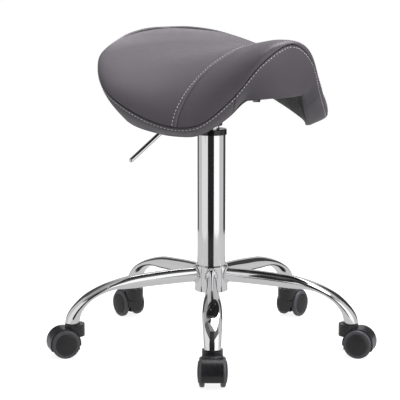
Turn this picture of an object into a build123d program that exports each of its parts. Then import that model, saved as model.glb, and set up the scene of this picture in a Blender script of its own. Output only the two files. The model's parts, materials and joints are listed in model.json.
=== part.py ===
"""Height-adjustable saddle stool on a five-leg castor base.

Millimetres. Origin on the floor under the column, +Z up, the sitter faces -Y.
"""

import math
import os

from build123d import *

# Base
LEG_COUNT = 5
FIRST_LEG_DEG = -130.0
HUB_R = 29.0
HUB_BOTTOM_Z = 100.0
HUB_TOP_Z = 147.0
STEM_CIRCLE_R = 251.0
LEG_WALL = 2.0
LEG_END_Z = 59.0
# Leg centreline stations: distance from the column, height, tube height, tube width, tilt in degrees
LEG_STATIONS = [
    (20.0, 130.0, 26.0, 20.0, 0.0),
    (70.0, 128.8, 26.0, 20.0, 2.0),
    (115.0, 126.5, 25.0, 21.0, 3.0),
    (150.0, 124.0, 23.5, 24.0, 6.0),
    (180.0, 120.5, 16.5, 29.0, 13.0),
    (205.0, 113.0, 13.5, 32.5, 24.0),
    (228.0, 100.5, 14.0, 33.0, 39.0),
    (244.5, 84.5, 17.5, 31.0, 58.0),
    (253.0, 70.0, 23.0, 29.0, 76.0),
    (255.5, LEG_END_Z, 25.5, 28.0, 90.0),
]
SOCKET_R = 9.0
SOCKET_TOP_Z = 78.0

# Castors
WHEEL_R = 25.0
TRAIL = 20.0
WHEEL_CORE_R = 19.0
WHEEL_INNER_Y = 12.6
TREAD_OUTER_Y = 21.5
WHEEL_FACE_Y = 23.6
HUB_FACE_Y = 24.9
AXLE_R = 4.0
AXLE_HALF = 19.0
RUN_GAP = 0.05
FENDER_R = 27.2
FENDER_HALF = 17.3
FENDER_BORE_R = 25.8
WEB_HALF = 11.6
HOOD_BOTTOM_Z = 12.0
BOSS_R = 17.2
BOSS_TOP_Z = 57.3
STEM_R = 5.0
STEM_BOTTOM_Z = 34.0
STEM_TOP_Z = 76.0
STEM_COLLAR_R = 8.0

# Column
TUBE_R = 25.0
TUBE_WALL = 2.0
TUBE_TOP_Z = 380.0
CAP_R = 27.0
CAP_TOP_Z = 390.0
BUSH_BOTTOM_Z = 300.0
CYLINDER_R = 14.0
CYLINDER_BORE_R = 11.5
CYLINDER_BOTTOM_Z = 140.0
CYLINDER_TOP_Z = 428.0
TAPER_START_Z = 396.0
TAPER_TOP_R = 13.0
ROD_R = 5.0
ROD_BOTTOM_Z = 94.0
PISTON_TOP_Z = 332.0
VALVE_R = 3.0
VALVE_TOP_Z = 431.4

# Seat mechanism
PLATE_LENGTH = 180.0
PLATE_WIDTH = 120.0
PLATE_Z = 441.0
PLATE_THICK = 4.0
BOLT_X = 70.0
BOLT_Y = 40.0
BOLT_R = 4.0
LEVER_R = 4.0
LEVER_Z = 435.5
LEVER_PIVOT_X = -34.0
LEVER_BEND_X = -46.0
LEVER_TIP = (-178.0, 349.5)
SHELL_THICK = 12.0
SPACER_TOP_Z = 451.0

# Saddle, one station every 20 degrees from the front round to the back.
# Each: how far forward, half width and height of the top edge seam, depth of
# the side band, height of the crown on the centre line, height of the underside.
SADDLE_STATIONS = [
    (203.0, 0.0, 548.0, 94.0, 549.0, 454.0),
    (193.0, 55.0, 520.0, 63.0, 553.0, 456.0),
    (167.0, 103.0, 459.0, 28.0, 553.0, 456.0),
    (134.0, 151.0, 418.0, 21.0, 548.0, 453.0),
    (84.0, 207.0, 425.0, 18.0, 539.0, 452.0),
    (5.0, 235.0, 468.0, 21.0, 532.0, 452.0),
    (-66.0, 196.0, 517.0, 26.0, 542.0, 453.0),
    (-100.0, 124.0, 548.0, 28.0, 556.0, 480.0),
    (-118.0, 60.0, 561.0, 28.0, 566.0, 515.0),
    (-125.0, 0.0, 564.0, 28.0, 569.0, 537.0),
]
# The arch under the front turns a tight corner either side
CORNER_DEG = 32.0
CORNER_WIDTH = 5.0
CORNER_RISE = 9.0
STATION_STEP = 20.0
COVER_THICK = 1.5
LIP_WIDTH = 28.0
LAYER_GAP = 0.7
BAND_GAP = 4.0
FOAM_DROP = 5.0
CROSS_SEAM_DEG = 69.0
PANEL_SEAM_DEG = 37.0
TIP_DEG = 7.0


def save(shape, name):
    os.makedirs("parts", exist_ok=True)
    shape.label = name
    export_step(shape, f"parts/{name}.step")


def disc(radius, low, high, x=0.0, y=0.0):
    """Upright cylinder between two heights."""
    return Pos(x, y, (low + high) / 2) * Cylinder(radius, high - low)


def ring(outer, inner, low, high, x=0.0, y=0.0):
    return disc(outer, low, high, x, y) - disc(inner, low - 1, high + 1, x, y)


def block(x0, x1, y0, y1, z0, z1):
    centre = Pos((x0 + x1) / 2, (y0 + y1) / 2, (z0 + z1) / 2)
    return centre * Box(x1 - x0, y1 - y0, z1 - z0)


def cross_disc(radius, y0, y1, x, z):
    """Cylinder lying along Y."""
    return Pos(x, (y0 + y1) / 2, z) * Rot(90, 0, 0) * Cylinder(radius, y1 - y0)


def curve(points):
    """Smooth curve through points, evenly spaced along its parameter."""
    last = len(points) - 1
    steps = [step / last for step in range(last + 1)]
    return Edge.make_spline([Vector(*p) for p in points], parameters=steps)


def loop(points):
    """Smooth closed curve through points, evenly spaced along its parameter."""
    steps = [step / len(points) for step in range(len(points) + 1)]
    spots = [Vector(*p) for p in points]
    return Wire([Edge.make_spline(spots, periodic=True, parameters=steps)])


def lathe(profile):
    """Solid of revolution about Z from (radius, height) pairs."""
    points = [(r, 0.0, z) for r, z in profile]
    face = Face(Wire.make_polygon(points, close=True))
    return revolve(face, Axis.Z, 360)


def leg_angle(index):
    return FIRST_LEG_DEG + 360.0 / LEG_COUNT * index


# ---------------------------------------------------------------- base


def tube_section(station, shrink):
    """Oval tube section standing square to the leg's centreline."""
    out, height, tall, wide, tilt = station
    lean = math.radians(tilt)
    along = (math.cos(lean), 0.0, -math.sin(lean))
    plane = Plane(origin=(out, 0, height), x_dir=(0, 1, 0), z_dir=along)
    points = []
    for step in range(12):
        turn = math.radians(30.0 * step)
        across = (wide / 2 - shrink) * math.cos(turn)
        points.append((across, (tall / 2 - shrink) * math.sin(turn), 0.0))
    return plane * loop(points)


def leg_body(shrink):
    return Solid.make_loft([tube_section(s, shrink) for s in LEG_STATIONS])


def make_leg(index):
    tube = leg_body(0.0) - leg_body(LEG_WALL)
    tube -= disc(HUB_R, HUB_BOTTOM_Z - 30, HUB_TOP_Z + 30)
    tube -= disc(SOCKET_R, LEG_END_Z - 20, SOCKET_TOP_Z, STEM_CIRCLE_R)
    tube -= block(200, 300, -40, 40, 20, LEG_END_Z)
    return Rot(0, 0, leg_angle(index)) * tube


def make_hub():
    hub = ring(HUB_R, TUBE_R, HUB_BOTTOM_Z, HUB_TOP_Z)
    hub = chamfer(hub.edges().filter_by(GeomType.CIRCLE).group_by(Axis.Z)[-1], 1.5)
    return hub


def make_sockets():
    socket = ring(SOCKET_R, STEM_R, BOSS_TOP_Z + 1.0, SOCKET_TOP_Z, STEM_CIRCLE_R)
    return Compound(children=[Rot(0, 0, leg_angle(i)) * socket for i in range(LEG_COUNT)])


def make_stems():
    """Castor stems: pressed into the sockets, the castor hoods turn on them."""
    stem = disc(STEM_R, STEM_BOTTOM_Z, STEM_TOP_Z, STEM_CIRCLE_R)
    stem += disc(STEM_COLLAR_R, BOSS_TOP_Z + 0.1, BOSS_TOP_Z + 1.0, STEM_CIRCLE_R)
    return Compound(children=[Rot(0, 0, leg_angle(i)) * stem for i in range(LEG_COUNT)])


# ---------------------------------------------------------------- castor


def make_hood():
    """Local frame: stem axis at x=0, wheels trail towards +X."""
    axle_x = TRAIL
    body = cross_disc(FENDER_R, -FENDER_HALF, FENDER_HALF, axle_x, WHEEL_R)
    back = Pos(axle_x + 27.0, 0, -2.0) * Rot(0, -28, 0) * Box(40, 60, 30)
    body -= back
    body += disc(BOSS_R, 36.0, BOSS_TOP_Z)
    body += block(-6.0, axle_x + 12.0, -WEB_HALF, WEB_HALF, HOOD_BOTTOM_Z, 44.0)
    body -= block(-60, 90, -40, 40, -10, HOOD_BOTTOM_Z)
    for side in (-1, 1):
        low = min(side * WEB_HALF, side * 40.0)
        high = max(side * WEB_HALF, side * 40.0)
        body -= cross_disc(FENDER_BORE_R, low, high, axle_x, WHEEL_R)
        below = block(-60, axle_x, low, high, -10, WHEEL_R - 4.0)
        body -= below
    body -= disc(STEM_R + RUN_GAP, STEM_BOTTOM_Z - 0.3, BOSS_TOP_Z + 5)
    body -= cross_disc(AXLE_R, -40, 40, axle_x, WHEEL_R)
    return body


def lathe_wheel(profile, side):
    """Wheel part from (radius, distance from the castor's middle plane) pairs."""
    solid = lathe(profile)
    turned = Rot(-90 * side, 0, 0) * solid
    return Pos(TRAIL, 0, WHEEL_R) * turned


def make_core(side):
    bore = AXLE_R + RUN_GAP
    profile = [
        (bore, WHEEL_INNER_Y),
        (WHEEL_CORE_R, WHEEL_INNER_Y),
        (WHEEL_CORE_R, TREAD_OUTER_Y + 0.6),
        (16.5, WHEEL_FACE_Y),
        (7.0, HUB_FACE_Y),
        (0.0, HUB_FACE_Y + 0.2),
        (0.0, AXLE_HALF + 0.4),
        (bore, AXLE_HALF + 0.4),
    ]
    return lathe_wheel(profile, side)


def make_tread(side):
    profile = [
        (WHEEL_CORE_R, WHEEL_INNER_Y + 0.2),
        (WHEEL_R - 1.8, WHEEL_INNER_Y + 0.2),
        (WHEEL_R, WHEEL_INNER_Y + 2.2),
        (WHEEL_R, TREAD_OUTER_Y - 2.6),
        (WHEEL_R - 1.0, TREAD_OUTER_Y - 0.8),
        (WHEEL_R - 3.0, TREAD_OUTER_Y + 0.3),
        (WHEEL_CORE_R, TREAD_OUTER_Y + 0.3),
    ]
    return lathe_wheel(profile, side)


def place_castor(shape, index):
    return Rot(0, 0, leg_angle(index)) * Pos(STEM_CIRCLE_R, 0, 0) * shape


def save_castors():
    hood = make_hood()
    axle = cross_disc(AXLE_R, -AXLE_HALF, AXLE_HALF, TRAIL, WHEEL_R)
    for index in range(LEG_COUNT):
        stem = f"castor_{index + 1}"
        save(place_castor(hood, index), f"{stem}_hood")
        save(place_castor(axle, index), f"{stem}_axle")
        for side, word in ((-1, "right"), (1, "left")):
            save(place_castor(make_core(side), index), f"{stem}_wheel_{word}")
            save(place_castor(make_tread(side), index), f"{stem}_tread_{word}")


# ---------------------------------------------------------------- column


def make_tube():
    tube = ring(TUBE_R, TUBE_R - TUBE_WALL, HUB_BOTTOM_Z, TUBE_TOP_Z)
    tube += ring(TUBE_R - TUBE_WALL, ROD_R + RUN_GAP, HUB_BOTTOM_Z, HUB_BOTTOM_Z + 4)
    return tube


def make_bearing():
    low = HUB_BOTTOM_Z + 4
    return ring(14.0, ROD_R + RUN_GAP, low, low + 4)


def make_rod():
    """Piston rod with its thrust shoulder and piston head."""
    shoulder = HUB_BOTTOM_Z + 8.05
    rod = disc(ROD_R, ROD_BOTTOM_Z, PISTON_TOP_Z)
    rod += disc(9.0, shoulder, shoulder + 4)
    rod += disc(CYLINDER_BORE_R - RUN_GAP, PISTON_TOP_Z - 14, PISTON_TOP_Z)
    return rod - ring(8.0, ROD_R - 1.0, HUB_BOTTOM_Z - 2.6, HUB_BOTTOM_Z - 1.0)


def make_clip():
    return ring(9.0, ROD_R - 1.0, HUB_BOTTOM_Z - 2.6, HUB_BOTTOM_Z - 1.0)


def make_cap():
    cap = ring(CAP_R, CYLINDER_R + 0.8, TUBE_TOP_Z, CAP_TOP_Z)
    return chamfer(cap.edges().filter_by(GeomType.CIRCLE).group_by(Axis.Z)[-1], 1.2)


def make_cylinder():
    profile = [
        (ROD_R + RUN_GAP, CYLINDER_BOTTOM_Z),
        (CYLINDER_R, CYLINDER_BOTTOM_Z),
        (CYLINDER_R, TAPER_START_Z),
        (TAPER_TOP_R, CYLINDER_TOP_Z),
        (VALVE_R + RUN_GAP, CYLINDER_TOP_Z),
        (VALVE_R + RUN_GAP, CYLINDER_TOP_Z - 14),
        (CYLINDER_BORE_R, CYLINDER_TOP_Z - 14),
        (CYLINDER_BORE_R, CYLINDER_BOTTOM_Z + 12),
        (ROD_R + RUN_GAP, CYLINDER_BOTTOM_Z + 12),
    ]
    return lathe(profile)


def make_valve():
    pin = disc(VALVE_R, CYLINDER_TOP_Z - 20, VALVE_TOP_Z)
    pin += disc(VALVE_R + 2.5, CYLINDER_TOP_Z - 22, CYLINDER_TOP_Z - 19)
    return pin


# ---------------------------------------------------------------- mechanism


def make_socket():
    slope = (CYLINDER_R - TAPER_TOP_R) / (CYLINDER_TOP_Z - TAPER_START_Z)
    top_r = CYLINDER_R - slope * (PLATE_Z - TAPER_START_Z)
    profile = [
        (CYLINDER_R, TAPER_START_Z),
        (19.0, TAPER_START_Z),
        (22.0, PLATE_Z),
        (top_r, PLATE_Z),
    ]
    slot = block(-40, 6, -LEVER_R - 1.0, LEVER_R + 1.0, CYLINDER_TOP_Z + 0.4, PLATE_Z + 1)
    return lathe(profile) - slot


def make_plate():
    half_x = PLATE_LENGTH / 2
    half_y = PLATE_WIDTH / 2
    plate = block(-half_x, half_x, -half_y, half_y, PLATE_Z, PLATE_Z + PLATE_THICK)
    plate = fillet(plate.edges().filter_by(Axis.Z), 14)
    for side in (-1, 1):
        low = min(side * half_y, side * (half_y - 3))
        plate += block(-60, 60, low, low + 3, PLATE_Z - 9, PLATE_Z)
        ear_low = min(side * 6.0, side * 9.0)
        ear_x = LEVER_PIVOT_X
        plate += block(ear_x - 8, ear_x + 8, ear_low, ear_low + 3, PLATE_Z - 13, PLATE_Z)
    for x, y in bolt_spots():
        plate -= disc(BOLT_R + 0.5, PLATE_Z - 1, PLATE_Z + 10, x, y)
    return plate - cross_disc(2.0, -12, 12, LEVER_PIVOT_X, LEVER_Z)


def bolt_spots():
    return [(x * BOLT_X, y * BOLT_Y) for x in (-1, 1) for y in (-1, 1)]


def make_lever():
    """Bent rod: flat inner arm over the valve pin, outer arm sloping down."""
    inner = (4.0, 0.0, LEVER_Z)
    bend = (LEVER_BEND_X, 0.0, LEVER_Z)
    tip = (LEVER_TIP[0], 0.0, LEVER_TIP[1])
    path = FilletPolyline(inner, bend, tip, radius=14)
    start = Plane(origin=inner, z_dir=(-1, 0, 0))
    rod = sweep(start * Circle(LEVER_R), path=path)
    rod += Pos(*tip) * Sphere(LEVER_R)
    return rod - cross_disc(2.0 + RUN_GAP, -12, 12, LEVER_PIVOT_X, LEVER_Z)


def make_bolts():
    bolts = []
    for x, y in bolt_spots():
        head = Pos(x, y, PLATE_Z - 5.5) * extrude(RegularPolygon(7.2, 6), 5.5)
        bolts.append(head + disc(BOLT_R, PLATE_Z - 0.5, PLATE_Z + 27, x, y))
    return Compound(children=bolts)


def make_t_nuts(shell_top):
    nuts = []
    for x, y in bolt_spots():
        nut = ring(5.5, BOLT_R, PLATE_Z + 15, shell_top + 1.5, x, y)
        nut += ring(11.0, BOLT_R, shell_top, shell_top + 1.5, x, y)
        nuts.append(nut)
    return Compound(children=nuts)


# ---------------------------------------------------------------- saddle


def station(index):
    """Saddle station by number, mirrored past the front and the back."""
    last = len(SADDLE_STATIONS) - 1
    index = index % (2 * last)
    if index <= last:
        return SADDLE_STATIONS[index]
    ahead, half, seam, band, crown, under = SADDLE_STATIONS[2 * last - index]
    return (ahead, -half, seam, band, crown, under)


def saddle(degrees):
    """Smooth blend of the stations at one angle round the edge."""
    place = degrees / STATION_STEP
    first = math.floor(place)
    t = place - first
    p0, p1, p2, p3 = (station(first + k) for k in (-1, 0, 1, 2))
    values = []
    for a, b, c, d in zip(p0, p1, p2, p3):
        cubic = -a + 3 * b - 3 * c + d
        square = 2 * a - 5 * b + 4 * c - d
        values.append(0.5 * (2 * b + (c - a) * t + square * t**2 + cubic * t**3))
    turn = abs((degrees + 180) % 360 - 180)
    values[3] -= CORNER_RISE * math.exp(-(((turn - CORNER_DEG) / CORNER_WIDTH) ** 2))
    return values


def rim(degrees, inset):
    """Point of the outline moved square to it towards the inside."""
    here = saddle(degrees)
    before = saddle(degrees - 1.0)
    after = saddle(degrees + 1.0)
    run = math.hypot(after[0] - before[0], after[1] - before[1])
    side_x = (after[1] - before[1]) / run
    side_y = -(after[0] - before[0]) / run
    return (here[0] - inset * side_x, here[1] - inset * side_y)


def at(ahead, side, height):
    """Saddle coordinates to the stool's frame: forward is -Y."""
    return (-side, -ahead, height)


def top_curve(degrees, inset, drop, rise=0.0):
    """Points of the sitting surface across the seat, from one edge to the other."""
    _, _, seam, _, crown, _ = saddle(degrees)
    ahead, half = rim(degrees, inset)
    depth = crown - drop - seam - rise
    points = []
    for step in range(-6, 7):
        angle = math.radians(15.0 * step)
        height = crown - drop - depth * (1 - math.cos(angle))
        points.append(at(ahead, half * math.sin(angle), height))
    return points


def under_curve(degrees, inset, lift, narrow):
    """Points of the underside: a flat lip at each flap and an arch between."""
    _, _, seam, band, _, under = saddle(degrees)
    ahead, half = rim(degrees, inset)
    arch = half - min(LIP_WIDTH - narrow, 0.35 * half)
    low = seam - band + lift
    high = under + lift
    points = []
    for step in range(-6, 7):
        share = math.sin(math.radians(15.0 * step))
        height = high - (high - low) * (1 - (1 - abs(share) ** 3) ** (1 / 3))
        points.append(at(ahead, arch * share, height))
    return points, at(ahead, -half, low), at(ahead, half, low)


def closed_section(top, bottom, left, right):
    """Closed wire: curve over the top, down the wall, lip, arch, lip, wall."""
    edges = [curve(top)]
    edges.append(Edge.make_line(top[-1], right))
    edges.append(Edge.make_line(right, bottom[-1]))
    edges.append(curve(list(reversed(bottom))))
    edges.append(Edge.make_line(bottom[0], left))
    edges.append(Edge.make_line(left, top[0]))
    return Wire(edges)


def loft_block(upper, lower, start, stop, count):
    """Solid between two families of curves along the seat."""
    wires = []
    for step in range(count + 1):
        degrees = start + (stop - start) * step / count
        top = upper(degrees)
        bottom, left, right = lower(degrees)
        wires.append(closed_section(top, bottom, left, right))
    return Solid.make_loft(wires)


def make_foam():
    inset = COVER_THICK + LAYER_GAP
    lift = SHELL_THICK + LAYER_GAP

    def upper(degrees):
        return top_curve(degrees, inset, FOAM_DROP, -FOAM_DROP)

    def lower(degrees):
        return under_curve(degrees, inset, lift, 9.0)

    return loft_block(upper, lower, TIP_DEG, 180 - TIP_DEG, 22)


def make_shell():
    inset = COVER_THICK + LAYER_GAP

    def upper(degrees):
        points, left, right = under_curve(degrees, inset, SHELL_THICK, 8.5)
        return [left] + points + [right]

    def lower(degrees):
        return under_curve(degrees, inset, 0.0, 0.0)

    wires = []
    for step in range(23):
        degrees = TIP_DEG + (180 - 2 * TIP_DEG) * step / 22
        wires.append(plate_section(upper(degrees), lower(degrees)))
    return Solid.make_loft(wires)


def plate_section(over, under):
    """Closed wire between two lipped arches."""
    points, left, right = under
    edges = [
        Edge.make_line(over[0], over[1]),
        curve(over[1:-1]),
        Edge.make_line(over[-2], over[-1]),
        Edge.make_line(over[-1], right),
        Edge.make_line(right, points[-1]),
        curve(list(reversed(points))),
        Edge.make_line(points[0], left),
        Edge.make_line(left, over[0]),
    ]
    return Wire(edges)


def make_cover(start, stop, count):
    """Upholstery skin over the top between two cross lines."""
    wires = []
    for step in range(count + 1):
        degrees = start + (stop - start) * step / count
        outer = top_curve(degrees, 0.0, 0.0)
        half = abs(outer[0][0])
        scale = (half - COVER_THICK) / half
        inner = [(x * scale, y, z - COVER_THICK) for x, y, z in outer]
        edges = [
            curve(outer),
            Edge.make_line(outer[-1], inner[-1]),
            curve(list(reversed(inner))),
            Edge.make_line(inner[0], outer[0]),
        ]
        wires.append(Wire(edges))
    return Solid.make_loft(wires, ruled=True)


def make_band(start, stop, count):
    """Upright strip of upholstery that follows the outline."""
    wires = []
    for step in range(count + 1):
        degrees = start + (stop - start) * step / count
        _, _, seam, band, _, _ = saddle(degrees)
        outer = rim(degrees, 0.0)
        inner = rim(degrees, COVER_THICK)
        top = seam - BAND_GAP
        low = seam - band
        corners = [
            at(*outer, top),
            at(*outer, low),
            at(*inner, low),
            at(*inner, top),
        ]
        wires.append(Wire.make_polygon(corners, close=True))
    return Solid.make_loft(wires, ruled=True)


# ---------------------------------------------------------------- write out


def save_base():
    save(make_hub(), "base_hub")
    for index in range(LEG_COUNT):
        save(make_leg(index), f"base_leg_{index + 1}")
    save(make_sockets(), "castor_sockets")
    save(make_stems(), "castor_stems")


def save_column():
    save(make_tube(), "outer_tube")
    save(make_cap(), "column_cap")
    bush = ring(TUBE_R - TUBE_WALL, CYLINDER_R + RUN_GAP, BUSH_BOTTOM_Z, TUBE_TOP_Z)
    save(bush, "guide_bush")
    save(make_bearing(), "thrust_bearing")
    save(make_rod(), "piston_rod")
    save(make_clip(), "retaining_clip")
    save(make_cylinder(), "gas_cylinder")
    save(make_valve(), "valve_pin")


def save_mechanism():
    shell = make_shell()
    foam = make_foam()
    shell_top = PLATE_Z + 24
    spacers = []
    for x, y in bolt_spots():
        shell -= disc(5.5, PLATE_Z, PLATE_Z + 60, x, y)
        shell -= disc(12.0, shell_top, PLATE_Z + 60, x, y)
        foam -= disc(12.0, PLATE_Z, shell_top + 4, x, y)
        spacer = ring(12.0, 5.6, PLATE_Z + PLATE_THICK, SPACER_TOP_Z, x, y)
        spacers.append(spacer)
    save(make_socket(), "taper_socket")
    save(make_plate(), "seat_plate")
    save(make_lever(), "lever_rod")
    save(cross_disc(2.0, -11, 11, LEVER_PIVOT_X, LEVER_Z), "lever_pin")
    save(make_bolts(), "seat_bolts")
    save(Compound(children=spacers), "seat_spacers")
    save(make_t_nuts(shell_top), "t_nuts")
    save(shell, "seat_shell")
    save(foam, "seat_foam")


def save_covers():
    save(make_cover(TIP_DEG, CROSS_SEAM_DEG - 0.15, 14), "cover_front")
    save(make_cover(CROSS_SEAM_DEG + 0.15, 180 - TIP_DEG, 20), "cover_rear")
    save(make_band(PANEL_SEAM_DEG + 0.3, 360 - PANEL_SEAM_DEG - 0.3, 64), "side_band")
    save(make_band(-PANEL_SEAM_DEG, PANEL_SEAM_DEG, 24), "front_panel")


save_base()
save_castors()
save_column()
save_mechanism()
save_covers()
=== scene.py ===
"""Looks of the saddle stool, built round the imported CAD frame. Metres, +Z up, front towards -Y."""

import json
import math
import random

import bmesh
import bpy
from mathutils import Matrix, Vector


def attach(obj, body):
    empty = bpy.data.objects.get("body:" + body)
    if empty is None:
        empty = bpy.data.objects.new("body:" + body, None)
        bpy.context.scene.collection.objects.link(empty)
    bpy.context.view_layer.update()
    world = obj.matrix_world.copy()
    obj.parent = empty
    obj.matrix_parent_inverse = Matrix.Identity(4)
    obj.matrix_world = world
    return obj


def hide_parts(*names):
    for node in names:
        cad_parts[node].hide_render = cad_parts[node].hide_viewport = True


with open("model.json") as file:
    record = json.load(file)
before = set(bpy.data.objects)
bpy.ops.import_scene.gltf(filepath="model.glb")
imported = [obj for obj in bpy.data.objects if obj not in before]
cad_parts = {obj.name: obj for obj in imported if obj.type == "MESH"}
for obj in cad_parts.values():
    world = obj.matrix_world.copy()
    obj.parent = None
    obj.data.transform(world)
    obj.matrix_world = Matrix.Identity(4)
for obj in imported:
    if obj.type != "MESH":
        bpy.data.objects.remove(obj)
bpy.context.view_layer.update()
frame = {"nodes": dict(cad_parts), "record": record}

MM = 0.001

# ---- saddle stations, one every STATION_STEP degrees from the front round to the back:
# forward, half width, height of the edge seam, crown height
STATIONS = [
    (203.0, 0.0, 548.0, 549.0),
    (193.0, 55.0, 520.0, 553.0),
    (167.0, 103.0, 459.0, 553.0),
    (134.0, 151.0, 418.0, 548.0),
    (84.0, 199.0, 425.0, 539.0),
    (5.0, 230.0, 468.0, 531.0),
    (-66.0, 196.0, 517.0, 538.0),
    (-100.0, 124.0, 549.0, 549.0),
    (-118.0, 60.0, 562.0, 558.0),
    (-125.0, 0.0, 564.0, 564.0),
]
STATION_STEP = 20.0
# bottom edge of the side band, every LIP_STEP degrees: how far it leans in, and its height
LIP_STATIONS = [
    (16.0, 457.0),
    (16.5, 457.0),
    (18.0, 457.0),
    (20.0, 455.0),
    (22.0, 426.0),
    (24.0, 407.0),
    (26.0, 396.0),
    (27.0, 396.0),
    (28.0, 400.0),
    (29.0, 409.0),
    (30.0, 425.0),
    (27.0, 447.0),
    (22.0, 471.0),
    (16.0, 493.0),
    (12.0, 511.0),
    (10.0, 524.0),
    (8.0, 532.0),
    (8.0, 535.0),
    (8.0, 536.0),
]
LIP_STEP = 10.0
# the arch under the front panel is level: nothing before ARCH_DEG rises over ARCH_Z
ARCH_Z = 457.4
ARCH_DEG = 40
# the cross line is straighter over the wings than an ellipse
WING_SLOPE = 0.42
WING_DEG = 82.0
WING_SPREAD = 42.0
# angles of the cross seam and of the front panel's upright seams
CROSS_SEAM = 69.0
PANEL_SEAM = 37.0
OUTWARD_STEP = 1.5
SINK_HALF = 30.0


def blend(a, b, c, d, t):
    """Smooth curve through four values, at b for t 0 and at c for t 1."""
    cubic = -a + 3 * b - 3 * c + d
    square = 2 * a - 5 * b + 4 * c - d
    return 0.5 * (2 * b + (c - a) * t + square * t * t + cubic * t**3)


def turn_from_front(degrees):
    """Angle from the front, 0 to 180, the same on both sides."""
    return abs((degrees + 180) % 360 - 180)


def station(index):
    last = len(STATIONS) - 1
    index = index % (2 * last)
    if index <= last:
        return STATIONS[index]
    ahead, half, seam, crown = STATIONS[2 * last - index]
    return (ahead, -half, seam, crown)


def saddle(degrees):
    """Forward, side, seam height, band depth and crown height at one angle."""
    place = degrees / STATION_STEP
    first = math.floor(place)
    corners = [station(first + k) for k in (-1, 0, 1, 2)]
    ahead, half, seam, crown = [blend(*four, place - first) for four in zip(*corners)]
    return ahead, half, seam, seam - lip(degrees)[1], crown


def lip(degrees):
    """How far the band leans in, and the height of its bottom edge, at one angle."""
    turn = turn_from_front(degrees)
    place = turn / LIP_STEP
    last = len(LIP_STATIONS) - 1
    first = min(math.floor(place), last - 1)
    picks = [abs(first + k) if first + k <= last else 2 * last - first - k for k in (-1, 0, 1, 2)]
    lean, height = [blend(*four, place - first) for four in zip(*[LIP_STATIONS[k] for k in picks])]
    if turn < ARCH_DEG:
        height = min(height, ARCH_Z)
    return lean, height


def spot(ahead, side, height):
    """Place from millimetres forward, to the sitter's side and up."""
    return Vector((-side * MM, -ahead * MM, height * MM))


def outward(degrees):
    """Unit vector square to the outline, pointing out, as (ahead, side)."""
    before = saddle(degrees - OUTWARD_STEP)
    after = saddle(degrees + OUTWARD_STEP)
    run = math.hypot(after[0] - before[0], after[1] - before[1])
    return (after[1] - before[1]) / run, -(after[0] - before[0]) / run


def edge_point(degrees, out, drop):
    """Point near the top edge seam, moved out and down by millimetres."""
    ahead, side, seam, _, _ = saddle(degrees)
    na, ns = outward(degrees)
    return spot(ahead + out * na, side + out * ns, seam - drop)


def top_power(degrees):
    """Roundness of the cross line: an ellipse at the ends, a slope over the wings."""
    turn = turn_from_front(degrees)
    return 2.0 - WING_SLOPE * math.exp(-(((turn - WING_DEG) / WING_SPREAD) ** 2))


def top_point(degrees, angle, sink=0.0):
    """Point of the sitting surface; angle -90 to 90 degrees runs edge to edge."""
    ahead, half, seam, _, crown = saddle(degrees)
    turn = math.radians(angle)
    power = 2.0 / top_power(degrees)
    across = math.copysign(abs(math.sin(turn)) ** power, turn)
    height = crown - (crown - seam) * (1 - max(0.0, math.cos(turn)) ** power)
    shrink = 1.0 - sink / max(half, SINK_HALF) * abs(math.sin(turn))
    return spot(ahead, half * across * shrink, height - sink * math.cos(turn))


# ---------------------------------------------------------------- mesh helpers

SAME_PLACE = 1e-5
NO_LENGTH = 1e-6


def new_object(name, bm, smooth=True):
    """Linked object made from a mesh under construction, which is used up."""
    mesh = bpy.data.meshes.new(name)
    bmesh.ops.recalc_face_normals(bm, faces=bm.faces)
    bm.to_mesh(mesh)
    bm.free()
    for polygon in mesh.polygons:
        polygon.use_smooth = smooth
    obj = bpy.data.objects.new(name, mesh)
    bpy.context.scene.collection.objects.link(obj)
    return obj


def grid(name, rows, closed=False):
    """Smooth sheet through rows of points, or a tube where the rows are closed."""
    bm = bmesh.new()
    lines = [[bm.verts.new(p) for p in row] for row in rows]
    count = len(rows[0])
    for lower, upper in zip(lines, lines[1:]):
        for k in range(count if closed else count - 1):
            n = (k + 1) % count
            bm.faces.new((lower[k], lower[n], upper[n], upper[k]))
    bmesh.ops.remove_doubles(bm, verts=bm.verts, dist=SAME_PLACE)
    bmesh.ops.dissolve_degenerate(bm, edges=bm.edges, dist=NO_LENGTH)
    return new_object(name, bm)


def subdivide(obj):
    mod = obj.modifiers.new("smooth", "SUBSURF")
    mod.levels = 1
    mod.render_levels = 1
    return obj


def spread(start, stop, count, ends=0.0):
    """Values from start to stop, crowded towards both ends by ends 0 to 1."""
    values = []
    for k in range(count + 1):
        t = k / count
        eased = 0.5 - 0.5 * math.cos(math.pi * t)
        values.append(start + (stop - start) * (t * (1 - ends) + eased * ends))
    return values


# ---------------------------------------------------------------- materials


def material(name, colour, rough, metal=0.0):
    mat = bpy.data.materials.new(name)
    mat.use_nodes = True
    nodes = mat.node_tree.nodes
    shader = nodes["Principled BSDF"]
    shader.inputs["Base Color"].default_value = (*colour, 1)
    shader.inputs["Roughness"].default_value = rough
    shader.inputs["Metallic"].default_value = metal
    return mat, mat.node_tree, shader


def noise(tree, scale, detail=4.0):
    coords = tree.nodes.new("ShaderNodeTexCoord")
    node = tree.nodes.new("ShaderNodeTexNoise")
    node.inputs["Scale"].default_value = scale
    node.inputs["Detail"].default_value = detail
    node.inputs["Roughness"].default_value = 0.5
    tree.links.new(coords.outputs["Object"], node.inputs["Vector"])
    return node


def ramp(tree, source, low, high, start=0.35, stop=0.65):
    node = tree.nodes.new("ShaderNodeValToRGB")
    node.color_ramp.elements[0].position = start
    node.color_ramp.elements[1].position = stop
    node.color_ramp.elements[0].color = low
    node.color_ramp.elements[1].color = high
    tree.links.new(source, node.inputs["Fac"])
    return node


def grey(value):
    return (value, value, value, 1)


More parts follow.
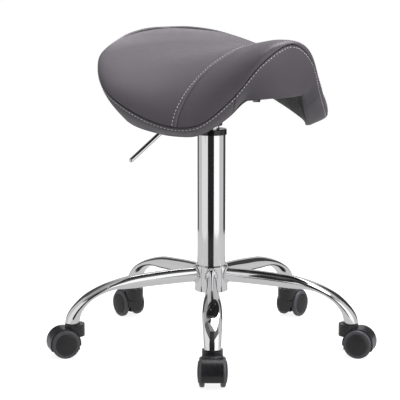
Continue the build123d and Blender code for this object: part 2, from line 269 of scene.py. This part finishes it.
def vary_rough(tree, shader, scale, low, high):
    node = noise(tree, scale)
    tint = ramp(tree, node.outputs["Fac"], grey(low), grey(high))
    tree.links.new(tint.outputs["Color"], shader.inputs["Roughness"])


def vary_colour(tree, shader, scale, dark, light):
    node = noise(tree, scale)
    tint = ramp(tree, node.outputs["Fac"], (*dark, 1), (*light, 1), 0.3, 0.7)
    tree.links.new(tint.outputs["Color"], shader.inputs["Base Color"])


def bump(tree, shader, height, strength, distance):
    node = tree.nodes.new("ShaderNodeBump")
    node.inputs["Strength"].default_value = strength
    node.inputs["Distance"].default_value = distance
    tree.links.new(height, node.inputs["Height"])
    tree.links.new(node.outputs["Normal"], shader.inputs["Normal"])


PEBBLE_SCALE = 900.0
PEBBLE_EDGE = 0.25
PEBBLE_SHARE = 0.7
PORE_SCALE = 1500.0
PEBBLE_DEPTH = 0.00025


def leather_material():
    """Coated leather: fine pebble grain, slight tint changes, soft sheen."""
    mat, tree, shader = material("grey_leather", (0.108, 0.096, 0.111), 0.42)
    vary_colour(tree, shader, 9.0, (0.112, 0.099, 0.117), (0.126, 0.112, 0.132))
    coords = tree.nodes.new("ShaderNodeTexCoord")
    cells = tree.nodes.new("ShaderNodeTexVoronoi")
    cells.feature = "DISTANCE_TO_EDGE"
    cells.inputs["Scale"].default_value = PEBBLE_SCALE
    tree.links.new(coords.outputs["Object"], cells.inputs["Vector"])
    soft = ramp(tree, cells.outputs["Distance"], grey(0), grey(1), 0.0, PEBBLE_EDGE)
    fine = noise(tree, PORE_SCALE, 3.0)
    mix = tree.nodes.new("ShaderNodeMath")
    mix.operation = "MULTIPLY_ADD"
    tree.links.new(soft.outputs["Color"], mix.inputs[0])
    mix.inputs[1].default_value = PEBBLE_SHARE
    tree.links.new(fine.outputs["Fac"], mix.inputs[2])
    bump(tree, shader, mix.outputs[0], 0.25, PEBBLE_DEPTH)
    vary_rough(tree, shader, 60.0, 0.38, 0.47)
    shader.inputs["Specular IOR Level"].default_value = 0.5
    return mat


def thread_material():
    """White thread with fine strands."""
    mat, tree, shader = material("white_thread", (0.90, 0.88, 0.88), 0.7)
    strands = noise(tree, 2500.0, 2.0)
    bump(tree, shader, strands.outputs["Fac"], 0.4, 0.0001)
    vary_colour(tree, shader, 120.0, (0.86, 0.84, 0.84), (0.95, 0.93, 0.93))
    return mat


def metal_material(name, colour, rough):
    """Plated or bright metal, very slightly wavy; rough is its (low, high) range."""
    low, high = rough
    mat, tree, shader = material(name, colour, low, 1.0)
    vary_rough(tree, shader, 25.0, low, high)
    wave = noise(tree, 14.0, 1.0)
    bump(tree, shader, wave.outputs["Fac"], 0.04, 0.002)
    return mat


def plastic_material(name, dark, light, rough, grain, depth):
    """Moulded or coated surface; rough is a (low, high) range, grain the pore scale."""
    low, high = rough
    mat, tree, shader = material(name, dark, low)
    vary_colour(tree, shader, 40.0, dark, light)
    vary_rough(tree, shader, 180.0, low, high)
    pores = noise(tree, grain, 3.0)
    bump(tree, shader, pores.outputs["Fac"], depth, 0.0002)
    return mat


LEATHER = leather_material()
THREAD = thread_material()
CHROME = metal_material("polished_chrome", (0.80, 0.80, 0.81), (0.03, 0.07))
STEEL = metal_material("bright_steel_look", (0.58, 0.58, 0.59), (0.22, 0.34))
NYLON = plastic_material(
    "black_nylon_look", (0.020, 0.018, 0.021), (0.030, 0.028, 0.032), (0.24, 0.34), 1400.0, 0.12
)
WHEEL = plastic_material(
    "wheel_black_look", (0.016, 0.016, 0.017), (0.024, 0.024, 0.026), (0.42, 0.55), 1600.0, 0.2
)
# grey tread, lightened past its own grey to paint the highlight on its rounded edge
TREAD_GREY_PAINTED_HIGHLIGHT = plastic_material(
    "tread_grey_painted_highlight_look", (0.095, 0.094, 0.108), (0.115, 0.113, 0.128), (0.38, 0.5), 1200.0, 0.2
)
GLOSS = plastic_material(
    "gloss_black_look", (0.012, 0.012, 0.013), (0.016, 0.016, 0.018), (0.08, 0.14), 900.0, 0.03
)
SHELL = plastic_material(
    "shell_black_look", (0.010, 0.010, 0.011), (0.016, 0.016, 0.017), (0.55, 0.7), 700.0, 0.3
)
ACETAL = plastic_material(
    "acetal_look", (0.60, 0.60, 0.57), (0.68, 0.68, 0.65), (0.35, 0.45), 900.0, 0.1
)
POWDER = plastic_material(
    "powder_black_look", (0.014, 0.014, 0.014), (0.022, 0.022, 0.022), (0.38, 0.5), 2200.0, 0.35
)
FOAM = plastic_material(
    "foam_look", (0.5, 0.47, 0.36), (0.58, 0.55, 0.43), (0.9, 0.97), 600.0, 0.8
)
RUBBER = plastic_material(
    "rubber_look", (0.02, 0.02, 0.02), (0.03, 0.03, 0.03), (0.6, 0.75), 900.0, 0.3
)

SLOT_LOOKS = {
    "chrome": CHROME,
    "bright_steel": STEEL,
    "black_nylon": NYLON,
    "wheel_black": WHEEL,
    "tread_grey": TREAD_GREY_PAINTED_HIGHLIGHT,
    "gloss_black": GLOSS,
    "bush_plastic": ACETAL,
    "black_steel": POWDER,
    "spacer_rubber": RUBBER,
    "shell_black": SHELL,
    "foam": FOAM,
    "grey_leather": LEATHER,
}


def dress_cad_nodes():
    """Give every CAD node the look of its material slot."""
    for part in frame["record"]["subparts"]:
        obj = frame["nodes"][part["node"]]
        look = SLOT_LOOKS[part["material_slot"]]
        if not obj.material_slots:
            obj.data.materials.append(look)
        for holder in obj.material_slots:
            holder.material = look


def seat_piece(obj, look):
    """Dress a piece that moves with the seat."""
    obj.data.materials.clear()
    obj.data.materials.append(look)
    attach(obj, "seat")


# ---------------------------------------------------------------- saddle top

COLUMNS = 96
# how the panel's edge folds into the edge seam: inboard, down
FOLD = [(0.2, 0.7), (0.9, 1.5), (2.8, 2.1)]
# how a panel rolls down at the cross seam: degrees from the seam, depth
ROLL = [(0.0, 3.2), (0.15, 1.5), (0.5, 0.5), (1.1, 0.1)]
ROLL_END = 1.6
TOP_CROWDING = 0.35
SEAM_GAP = 0.12
TOP_START = 0.3
TOP_STOP = 179.6


def panel_row(degrees, sink):
    """One line across the seat, its ends folded down into the edge seam."""
    row = [top_point(degrees, -90 + 180 * k / COLUMNS, sink) for k in range(COLUMNS + 1)]
    left = [edge_point(-degrees, -inset, drop) for inset, drop in FOLD]
    right = [edge_point(degrees, -inset, drop) for inset, drop in FOLD]
    return left[::-1] + row + right


def top_panel(name, start, stop, count, seam_at_start):
    """Upholstery panel, rolled down where it meets the cross seam."""
    angles = spread(start, stop, count, TOP_CROWDING)
    seam = start if seam_at_start else stop
    way = 1 if seam_at_start else -1
    near = [(seam + way * off, sink) for off, sink in ROLL]
    body = [(a, 0.0) for a in angles if abs(a - seam) > ROLL_END]
    plan = near + body if seam_at_start else body + near[::-1]
    return subdivide(grid(name, [panel_row(degrees, sink) for degrees, sink in plan]))


def make_top():
    front = top_panel("saddle_top_front", TOP_START, CROSS_SEAM - SEAM_GAP, 60, False)
    rear = top_panel("saddle_top_rear", CROSS_SEAM + SEAM_GAP, TOP_STOP, 84, True)
    seat_piece(front, LEATHER)
    seat_piece(rear, LEATHER)
    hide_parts("cover_front")
    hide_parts("cover_rear", "seat_foam")


# ---------------------------------------------------------------- side band

# upper end of the band, out of the seam: out, down
BAND_FOLD = [(-3.0, 3.0), (-1.2, 2.2), (-0.2, 2.7)]
# lower end, rolled under the lip: further in than the lean, down from the band's depth
BAND_ROLL = [(1.0, -1.0), (3.0, 0.0), (6.5, 0.4), (11.0, 0.2)]
BAND_TOP = 2.9
BAND_ENDS = 4.6
BAND_STEPS = 13
# both sides of an upright seam: degrees past the seam, how deep the band is tucked
SEAM_TUCK = [(-0.2, 4.0), (0.05, 1.4), (0.25, 0.4)]
SEAM_CLEAR = 0.6
SWELL = 1.1
SWELL_SPAN = 1.15
SWELL_FALL = 2.2


def band_out(degrees, share):
    """How far the side band stands out, from share 0 at the seam to 1 at the lip."""
    swell = SWELL * math.sin(math.pi * min(1.0, share * SWELL_SPAN)) - SWELL_FALL * share * share
    return swell - (lip(degrees)[0] - SWELL_FALL) * share**1.5


def band_column(degrees, tuck=0.0):
    """Line down the side band: out of the seam, down the side, round the lip."""
    depth = saddle(degrees)[3]
    lean = lip(degrees)[0]
    line = [edge_point(degrees, out, drop) for out, drop in BAND_FOLD]
    for k in range(1, BAND_STEPS):
        t = k / BAND_STEPS
        line.append(edge_point(degrees, band_out(degrees, t), BAND_TOP + (depth - BAND_ENDS) * t))
    line += [edge_point(degrees, -lean - inset, depth + drop) for inset, drop in BAND_ROLL]
    if tuck:
        na, ns = outward(degrees)
        line = [p - spot(na * tuck, ns * tuck, 0) for p in line]
    return line


def band_rows(start, stop, count):
    """Columns round the band, both ends folded into the upright seams."""
    clear = stop - start - 2 * SEAM_CLEAR
    rows = [band_column(start + past, tuck) for past, tuck in SEAM_TUCK]
    rows += [band_column(start + SEAM_CLEAR + clear * k / count) for k in range(count + 1)]
    rows += [band_column(stop - past, tuck) for past, tuck in SEAM_TUCK[::-1]]
    return rows


def make_band():
    start, stop = PANEL_SEAM, 360 - PANEL_SEAM
    side = subdivide(grid("saddle_side_band", band_rows(start, stop, 150)))
    seat_piece(side, LEATHER)
    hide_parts("side_band")
    panel = subdivide(grid("saddle_front_panel", band_rows(-start, start, 56)))
    seat_piece(panel, LEATHER)
    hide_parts("front_panel")

# ---------------------------------------------------------------- underside

# height of the middle of the underside, every STATION_STEP degrees
UNDER_STATIONS = [456.5, 456.5, 456.0, 453.0, 452.5, 452.5, 453.0, 480.0, 515.0, 530.0]
# how far inboard the underside climbs to full height: quickly in front, slowly over the wings
RISE_FRONT = 26.0
RISE_WING = 100.0
RISE_START = 58.0
RISE_STOP = 95.0
RISE_LIMIT = 0.9
RISE_DELAY = 0.1
UNDER_INSET = 6.0
UNDER_DROP = 0.8
UNDER_COLUMNS = 48
UNDER_START = 0.6


def under_height(degrees):
    place = degrees / STATION_STEP
    last = len(UNDER_STATIONS) - 1
    first = min(math.floor(place), last - 1)
    t = place - first
    return UNDER_STATIONS[first] * (1 - t) + UNDER_STATIONS[first + 1] * t


def under_row(degrees):
    """Line across the black underside: lip, hanging flap, middle, flap, lip."""
    depth = saddle(degrees)[3]
    inset = lip(degrees)[0] + UNDER_INSET
    near = edge_point(degrees, -inset, depth - UNDER_DROP)
    half = abs(near.x)
    high = under_height(degrees) * MM
    wing = min(1.0, max(0.0, (degrees - RISE_START) / (RISE_STOP - RISE_START)))
    rise = min((RISE_FRONT + (RISE_WING - RISE_FRONT) * wing) * MM, half * RISE_LIMIT)
    row = []
    for k in range(UNDER_COLUMNS + 1):
        side = half * math.sin(math.radians(-90 + 180 * k / UNDER_COLUMNS))
        share = min(1.0, max(0.0, (half - abs(side) - RISE_DELAY * rise) / rise))
        height = near.z + (high - near.z) * share * share * (3 - 2 * share)
        row.append(Vector((side, near.y, height)))
    return row


def make_underside():
    rows = [under_row(a) for a in spread(UNDER_START, TOP_STOP, 84)]
    under = subdivide(grid("saddle_underside", rows))
    seat_piece(under, SHELL)
    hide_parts("seat_shell")


# ---------------------------------------------------------------- mounting plate

PLATE_LOW, PLATE_HIGH = 441.0, 445.0
PLATE_HALF = (90.0, 60.0)
PLATE_CORNER = 14.0
PLATE_BEVEL = 0.0005
CORNER_STEPS = 8
FLANGE_THICK = 3
FLANGE_SINK = 0.2
# two stiffening flanges, then the lever's two ears: back, front, lowest point, side, corner
FLANGES = [
    (-60, 22, 435.5, -60, 4),
    (-60, 22, 435.5, 57, 4),
    (-42, -26, 428, 6, 6),
    (-42, -26, 428, -9, 6),
]


def rounded_outline(x0, x1, y0, y1, radius):
    """Corner-rounded rectangle as (x, y) pairs in millimetres, lower corners last."""
    points = []
    for cx, cy, first in ((x1, y1, 0), (x0, y1, 90), (x0, y0, 180), (x1, y0, 270)):
        mx = cx - math.copysign(radius, cx - (x0 + x1) / 2)
        my = cy - math.copysign(radius, cy - (y0 + y1) / 2)
        for k in range(CORNER_STEPS + 1):
            turn = math.radians(first + 90 * k / CORNER_STEPS)
            points.append((mx + radius * math.cos(turn), my + radius * math.sin(turn)))
    return points


def flange_outline(x0, x1, low, radius):
    """Side view of a flange: square top let into the plate, two round lower corners."""
    top = PLATE_LOW + FLANGE_SINK
    rounded = rounded_outline(x0, x1, low, top, radius)
    return [(x1, top), (x0, top)] + rounded[len(rounded) // 2 :]


def prism(bm, ring, shift):
    """Closed prism from a ring of places and a shift to its far face."""
    near = [bm.verts.new(p) for p in ring]
    far = [bm.verts.new(p + shift) for p in ring]
    for k in range(len(ring)):
        n = (k + 1) % len(ring)
        bm.faces.new((near[k], near[n], far[n], far[k]))
    bm.faces.new(list(reversed(near)))
    bm.faces.new(far)


def make_plate():
    """Pressed steel plate with two stiffening flanges and the lever's ears."""
    bm = bmesh.new()
    half_x, half_y = PLATE_HALF
    outline = rounded_outline(-half_x, half_x, -half_y, half_y, PLATE_CORNER)
    thick = Vector((0, 0, PLATE_HIGH - PLATE_LOW)) * MM
    prism(bm, [Vector((x, y, PLATE_LOW)) * MM for x, y in outline], thick)
    for x0, x1, low, y, radius in FLANGES:
        ring = [Vector((x, y, z)) * MM for x, z in flange_outline(x0, x1, low, radius)]
        prism(bm, ring, Vector((0, FLANGE_THICK, 0)) * MM)
    plate = new_object("mounting_plate", bm, False)
    bevel = plate.modifiers.new("edges", "BEVEL")
    bevel.width = PLATE_BEVEL
    bevel.segments = 2
    bevel.limit_method = "ANGLE"
    seat_piece(plate, POWDER)
    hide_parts("seat_plate")


# ---------------------------------------------------------------- stitches

STITCH_LENGTH = 3.6 * MM
STITCH_PITCH = 6.0 * MM
STITCH_R = 0.55 * MM
STITCH_DROP = 6.0
STITCH_LIFT = 0.25
STITCH_SKEW = 0.12
STITCH_SAG = 1.1
STITCH_SEED = 7
STITCH_SIDES = 8
# along the stitch from -0.5 to 0.5, and how thick it is there
STITCH_RINGS = [(-0.5, 0.25), (-0.42, 0.75), (-0.2, 1.0), (0.2, 1.0), (0.42, 0.75), (0.5, 0.25)]
CROSS_STITCH_OFF = 1.9
CROSS_STITCH_EDGE = 88.5


def evenly(points, pitch):
    """(place, direction) pairs every pitch along a line of points."""
    found = []
    left = pitch / 2
    for a, b in zip(points, points[1:]):
        run = (b - a).length
        while left < run:
            found.append((a.lerp(b, left / run), (b - a).normalized()))
            left += pitch
        left -= run
    return found


def stitch_row(name, points, inside):
    """Row of separate thread stitches, each a small rounded bead half sunk in."""
    bm = bmesh.new()
    rng = random.Random(STITCH_SEED)
    for place, along in evenly(points, STITCH_PITCH):
        away = (place - inside).normalized()
        side = along.cross(away).normalized()
        up = side.cross(along).normalized()
        skew = side * (rng.uniform(-STITCH_SKEW, STITCH_SKEW) * MM)
        rings = []
        for share, size in STITCH_RINGS:
            middle = place + along * (STITCH_LENGTH * share) + skew * share * 2
            middle -= up * (STITCH_R * STITCH_SAG * (2 * share) ** 2)
            ring = []
            for k in range(STITCH_SIDES):
                turn = math.tau * k / STITCH_SIDES
                offset = side * math.cos(turn) + up * math.sin(turn)
                ring.append(bm.verts.new(middle + offset * (STITCH_R * size)))
            rings.append(ring)
        for a, b in zip(rings, rings[1:]):
            for k in range(STITCH_SIDES):
                n = (k + 1) % STITCH_SIDES
                bm.faces.new((a[k], a[n], b[n], b[k]))
        bm.faces.new(list(reversed(rings[0])))
        bm.faces.new(rings[-1])
    return new_object(name, bm)


def make_stitches():
    """Stitches round the side band, just under the seam, and behind the cross seam."""
    inside = spot(30.0, 0.0, 470.0)
    line = []
    for step in range(721):
        degrees = step / 2
        share = (STITCH_DROP - BAND_TOP) / (saddle(degrees)[3] - BAND_ENDS)
        line.append(edge_point(degrees, band_out(degrees, share) + STITCH_LIFT, STITCH_DROP))
    edge = stitch_row("edge_stitches", line, inside)
    seat_piece(edge, THREAD)
    behind = CROSS_SEAM + CROSS_STITCH_OFF
    across = [top_point(behind, -CROSS_STITCH_EDGE + k * 1.5) for k in range(119)]
    cross = stitch_row("cross_stitches", across, inside)
    seat_piece(cross, THREAD)


# ---------------------------------------------------------------- legs

LEG_COUNT = 5
FIRST_LEG = -130.0
HUB_R = 29.0
# distance from the column, height, tube height, tube width, tilt in degrees
LEG_STATIONS = [
    (20.0, 130.0, 26.0, 20.0, 0.0),
    (70.0, 128.8, 26.0, 20.0, 2.0),
    (115.0, 126.5, 25.0, 21.0, 3.0),
    (150.0, 124.0, 23.5, 24.0, 6.0),
    (180.0, 120.5, 16.5, 29.0, 13.0),
    (205.0, 113.0, 13.5, 32.5, 24.0),
    (228.0, 100.5, 14.0, 33.0, 39.0),
    (244.5, 84.5, 17.5, 31.0, 58.0),
    (253.0, 70.0, 23.0, 29.0, 76.0),
    (255.5, 59.0, 25.5, 28.0, 90.0),
]
LEG_START = 0.12
LEG_RINGS = 54
# open end of the tube: stations back from the end, how much thinner, how far past the end
LEG_MOUTH = [
    (0.0, 0.3, 0.25),
    (0.0, 1.0, 0.45),
    (0.0, 1.7, 0.25),
    (0.0, 2.0, -0.4),
    (0.5, 2.0, 0.0),
    (1.2, 2.0, 0.0),
]
RING = 40
WELD_PLACE = 0.4
WELD_BEADS = 96
WELD_RIPPLES = 26
WELD_R = 2.3
WELD_SIDES = 10
WELD_SEED = 40


def leg_station(place):
    """Smooth blend of the leg stations at a fractional place along it."""
    last = len(LEG_STATIONS) - 1
    first = min(int(place), last - 1)
    picks = [LEG_STATIONS[min(max(first + k, 0), last)] for k in (-1, 0, 1, 2)]
    return [blend(*four, place - first) for four in zip(*picks)]


def leg_turn(index):
    return math.radians(FIRST_LEG + 360 / LEG_COUNT * index)


def leg_ring(index, place, shrink=0.0, lift=0.0):
    """Oval ring of the leg tube, made square to its line."""
    out, height, tall, wide, tilt = leg_station(place)
    turn = leg_turn(index)
    radial = Vector((math.cos(turn), math.sin(turn), 0))
    side = Vector((-math.sin(turn), math.cos(turn), 0))
    lean = math.radians(tilt)
    normal = radial * math.sin(lean) + Vector((0, 0, math.cos(lean)))
    along = radial * math.cos(lean) - Vector((0, 0, math.sin(lean)))
    middle = radial * (out * MM) + Vector((0, 0, height * MM)) + along * (lift * MM)
    ring = []
    for k in range(RING):
        a = math.tau * k / RING
        across = (wide / 2 - shrink) * MM * math.cos(a)
        over = (tall / 2 - shrink) * MM * math.sin(a)
        ring.append(middle + side * across + normal * over)
    return ring


def make_leg(index):
    """Bent tube with an open, rolled end over the castor sleeve."""
    last = len(LEG_STATIONS) - 1
    run = last - LEG_START
    rows = [leg_ring(index, LEG_START + run * k / LEG_RINGS) for k in range(LEG_RINGS + 1)]
    rows += [leg_ring(index, last - back, shrink, lift) for back, shrink, lift in LEG_MOUTH]
    leg = subdivide(grid(f"leg_tube_{index + 1}", rows, closed=True))
    leg.data.materials.append(CHROME)
    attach(leg, "base")
    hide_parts(f"base_leg_{index + 1}")


def make_weld(index):
    """Plated weld bead where the leg meets the hub."""
    turn = leg_turn(index)
    rng = random.Random(WELD_SEED + index)
    _, height, tall, wide, _ = leg_station(WELD_PLACE)
    rows = []
    for k in range(WELD_BEADS):
        a = math.tau * k / WELD_BEADS
        across = (wide / 2 + 0.4) * math.cos(a)
        over = height + (tall / 2 + 0.4) * math.sin(a)
        angle = turn + math.asin(across / HUB_R)
        foot = Vector((math.cos(angle), math.sin(angle), 0))
        ripple = 1.0 + 0.16 * math.sin(a * WELD_RIPPLES) + rng.uniform(-0.07, 0.07)
        away = Vector((-math.sin(turn) * math.cos(a), math.cos(turn) * math.cos(a), math.sin(a)))
        ring = []
        for j in range(WELD_SIDES):
            b = math.tau * j / WELD_SIDES
            reach = WELD_R * ripple
            place = foot * ((HUB_R + 0.2 + reach * math.cos(b)) * MM) + Vector((0, 0, over * MM))
            ring.append(place + away * (reach * math.sin(b) * MM))
        rows.append(ring)
    rows.append(rows[0])
    weld = grid(f"leg_weld_{index + 1}", rows, closed=True)
    weld.data.materials.append(CHROME)
    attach(weld, "base")


def make_legs():
    for index in range(LEG_COUNT):
        make_leg(index)
        make_weld(index)


# ---------------------------------------------------------------- stage

CAMERA_AZIMUTH = -40.0
CAMERA_RUN = 2.600
CAMERA_HEIGHT = 0.6933
CAMERA_TILT = 9.41
CAMERA_LENS = 133.7
CAMERA_SIDE = 0.0203
# name, azimuth from the camera, run, height, height aimed at, size, power
LIGHTS = [
    ("softbox_rear", 135, 0.75, 1.9, 0.5, (1.0, 1.0), 15),
    ("softbox_top", 70, 0.5, 2.1, 0.5, (1.2, 1.2), 17),
    ("softbox_right", 60, 2.2, 1.3, 0.4, (1.0, 1.6), 16),
    ("softbox_left", -75, 2.2, 1.5, 0.4, (1.0, 1.6), 1.5),
]
WORLD_LIGHT = 0.33
FLOOR_HALF = 40.0
FLOOR_Z = -0.0005
FLOOR_GLOW = 0.82
# what the chrome mirrors: azimuths from the camera side, glow low down and higher up
RING_RUN = 1.15
RING_SPLIT = 1.0
RING_TOP = 2.4
RING_CARDS = [
    (-30, 20, 0.0, 0.0),
    (20, 66, 1.2, 0.1),
    (66, 112, 0.62, 0.5),
    (112, 150, 0.03, 0.5),
    (150, 205, 0.55, 0.5),
    (205, 235, 0.05, 0.3),
    (235, 275, 0.6, 0.4),
    (275, 330, 0.85, 0.1),
]
CARD_CELLS = 6
FLOOR_CARD_GLOW = 0.62
# dark sector of the floor: azimuths from the camera side, runs, height
DARK_FROM, DARK_TO = -28, 18
DARK_NEAR = 0.40
DARK_Z = 0.004
# roof cards: four (azimuth, run) corners and a glow
ROOF_CARDS = [
    ((-75, 1.1), (55, 1.1), (55, 0.12), (-75, 0.12), 0.0),
    ((115, 0.12), (115, 1.3), (245, 1.3), (245, 0.12), 0.95),
]


def area_light(name, place, target, size, power):
    data = bpy.data.lights.new(name, "AREA")
    data.shape = "RECTANGLE"
    data.size, data.size_y = size
    data.energy = power
    obj = bpy.data.objects.new(name, data)
    obj.location = place
    obj.rotation_euler = (Vector(target) - Vector(place)).to_track_quat("-Z", "Y").to_euler()
    bpy.context.scene.collection.objects.link(obj)


def around(azimuth, run, height):
    """Place at an azimuth round the stool; 0 is in front of the sitter."""
    turn = math.radians(azimuth)
    return Vector((math.sin(turn) * run, -math.cos(turn) * run, height))


def make_camera():
    data = bpy.data.cameras.new("camera")
    data.lens = CAMERA_LENS
    data.sensor_width = 36.0
    camera = bpy.data.objects.new("camera", data)
    turn = math.radians(CAMERA_AZIMUTH)
    right = Vector((math.cos(turn), math.sin(turn), 0))
    camera.location = around(CAMERA_AZIMUTH, CAMERA_RUN, CAMERA_HEIGHT) - right * CAMERA_SIDE
    camera.rotation_euler = (math.radians(90 - CAMERA_TILT), 0, turn)
    bpy.context.scene.collection.objects.link(camera)
    bpy.context.scene.camera = camera


def glow_white(shader, strength):
    shader.inputs["Emission Color"].default_value = (1, 1, 1, 1)
    shader.inputs["Emission Strength"].default_value = strength


def make_floor():
    """Pale floor that fades into the white background."""
    bm = bmesh.new()
    bmesh.ops.create_grid(bm, x_segments=8, y_segments=8, size=FLOOR_HALF)
    floor = new_object("floor", bm)
    floor.location.z = FLOOR_Z
    mat, _, shader = material("pale_floor", (0.5, 0.5, 0.5), 0.7)
    glow_white(shader, FLOOR_GLOW)
    floor.data.materials.append(mat)
    floor.visible_diffuse = False


def make_card(name, corners, glow):
    """Black or glowing card that only shows in reflections."""
    bm = bmesh.new()
    a, b, c, d = [Vector(p) for p in corners]
    rows = []
    for j in range(CARD_CELLS + 1):
        left, right = a.lerp(d, j / CARD_CELLS), b.lerp(c, j / CARD_CELLS)
        row = [bm.verts.new(left.lerp(right, i / CARD_CELLS)) for i in range(CARD_CELLS + 1)]
        rows.append(row)
    for low, high in zip(rows, rows[1:]):
        for k in range(CARD_CELLS):
            bm.faces.new((low[k], low[k + 1], high[k + 1], high[k]))
    card = new_object(name, bm, False)
    mat, _, shader = material(name + "_look", (0.01, 0.01, 0.01), 0.9)
    glow_white(shader, glow)
    card.data.materials.append(mat)
    card.visible_camera = False
    card.visible_shadow = False
    card.visible_diffuse = False


def make_ring():
    """Cards all round, on the floor and overhead, for the chrome to mirror."""
    for number, (start, stop, low_glow, high_glow) in enumerate(RING_CARDS):
        first, last = CAMERA_AZIMUTH + start, CAMERA_AZIMUTH + stop
        tiers = ((0.0, RING_SPLIT, low_glow, "low"), (RING_SPLIT, RING_TOP, high_glow, "high"))
        for z0, z1, glow, tier in tiers:
            ends = ((first, z0), (last, z0), (last, z1), (first, z1))
            corners = [around(a, RING_RUN, z) for a, z in ends]
            make_card(f"card_{tier}_{number + 1}", corners, glow)
    half = RING_RUN
    flat = [(-half, -half, 0.0), (half, -half, 0.0), (half, half, 0.0), (-half, half, 0.0)]
    make_card("card_floor", flat, FLOOR_CARD_GLOW)
    sector = (
        (DARK_FROM, DARK_NEAR), (DARK_TO, DARK_NEAR), (DARK_TO, RING_RUN), (DARK_FROM, RING_RUN)
    )
    patch = [around(CAMERA_AZIMUTH + a, run, DARK_Z) for a, run in sector]
    make_card("card_floor_dark", patch, 0.0)
    for number, (*ends, glow) in enumerate(ROOF_CARDS):
        corners = [around(CAMERA_AZIMUTH + a, run, RING_TOP) for a, run in ends]
        make_card(f"card_roof_{number + 1}", corners, glow)


def make_world():
    """Plain white behind the stool, dimmer as a light."""
    world = bpy.data.worlds.new("studio")
    bpy.context.scene.world = world
    world.use_nodes = True
    tree = world.node_tree
    nodes, links = tree.nodes, tree.links
    back = nodes["Background"]
    back.inputs["Color"].default_value = (1, 1, 1, 1)
    back.inputs["Strength"].default_value = WORLD_LIGHT
    plain = nodes.new("ShaderNodeBackground")
    plain.inputs["Color"].default_value = (1, 1, 1, 1)
    plain.inputs["Strength"].default_value = 1.0
    path = nodes.new("ShaderNodeLightPath")
    mix = nodes.new("ShaderNodeMixShader")
    links.new(path.outputs["Is Camera Ray"], mix.inputs["Fac"])
    links.new(back.outputs["Background"], mix.inputs[1])
    links.new(plain.outputs["Background"], mix.inputs[2])
    links.new(mix.outputs["Shader"], nodes["World Output"].inputs["Surface"])


def make_studio():
    make_world()
    make_floor()
    for name, turn, run, height, aim, size, power in LIGHTS:
        place = around(CAMERA_AZIMUTH + turn, run, height)
        area_light(name, place, (0, 0, aim), size, power)
    make_ring()
    make_camera()
    settings = bpy.context.scene.view_settings
    settings.view_transform = "Standard"
    settings.look = "None"
    settings.exposure = 0.0


dress_cad_nodes()
make_top()
make_band()
make_underside()
make_plate()
make_stitches()
make_legs()
make_studio()
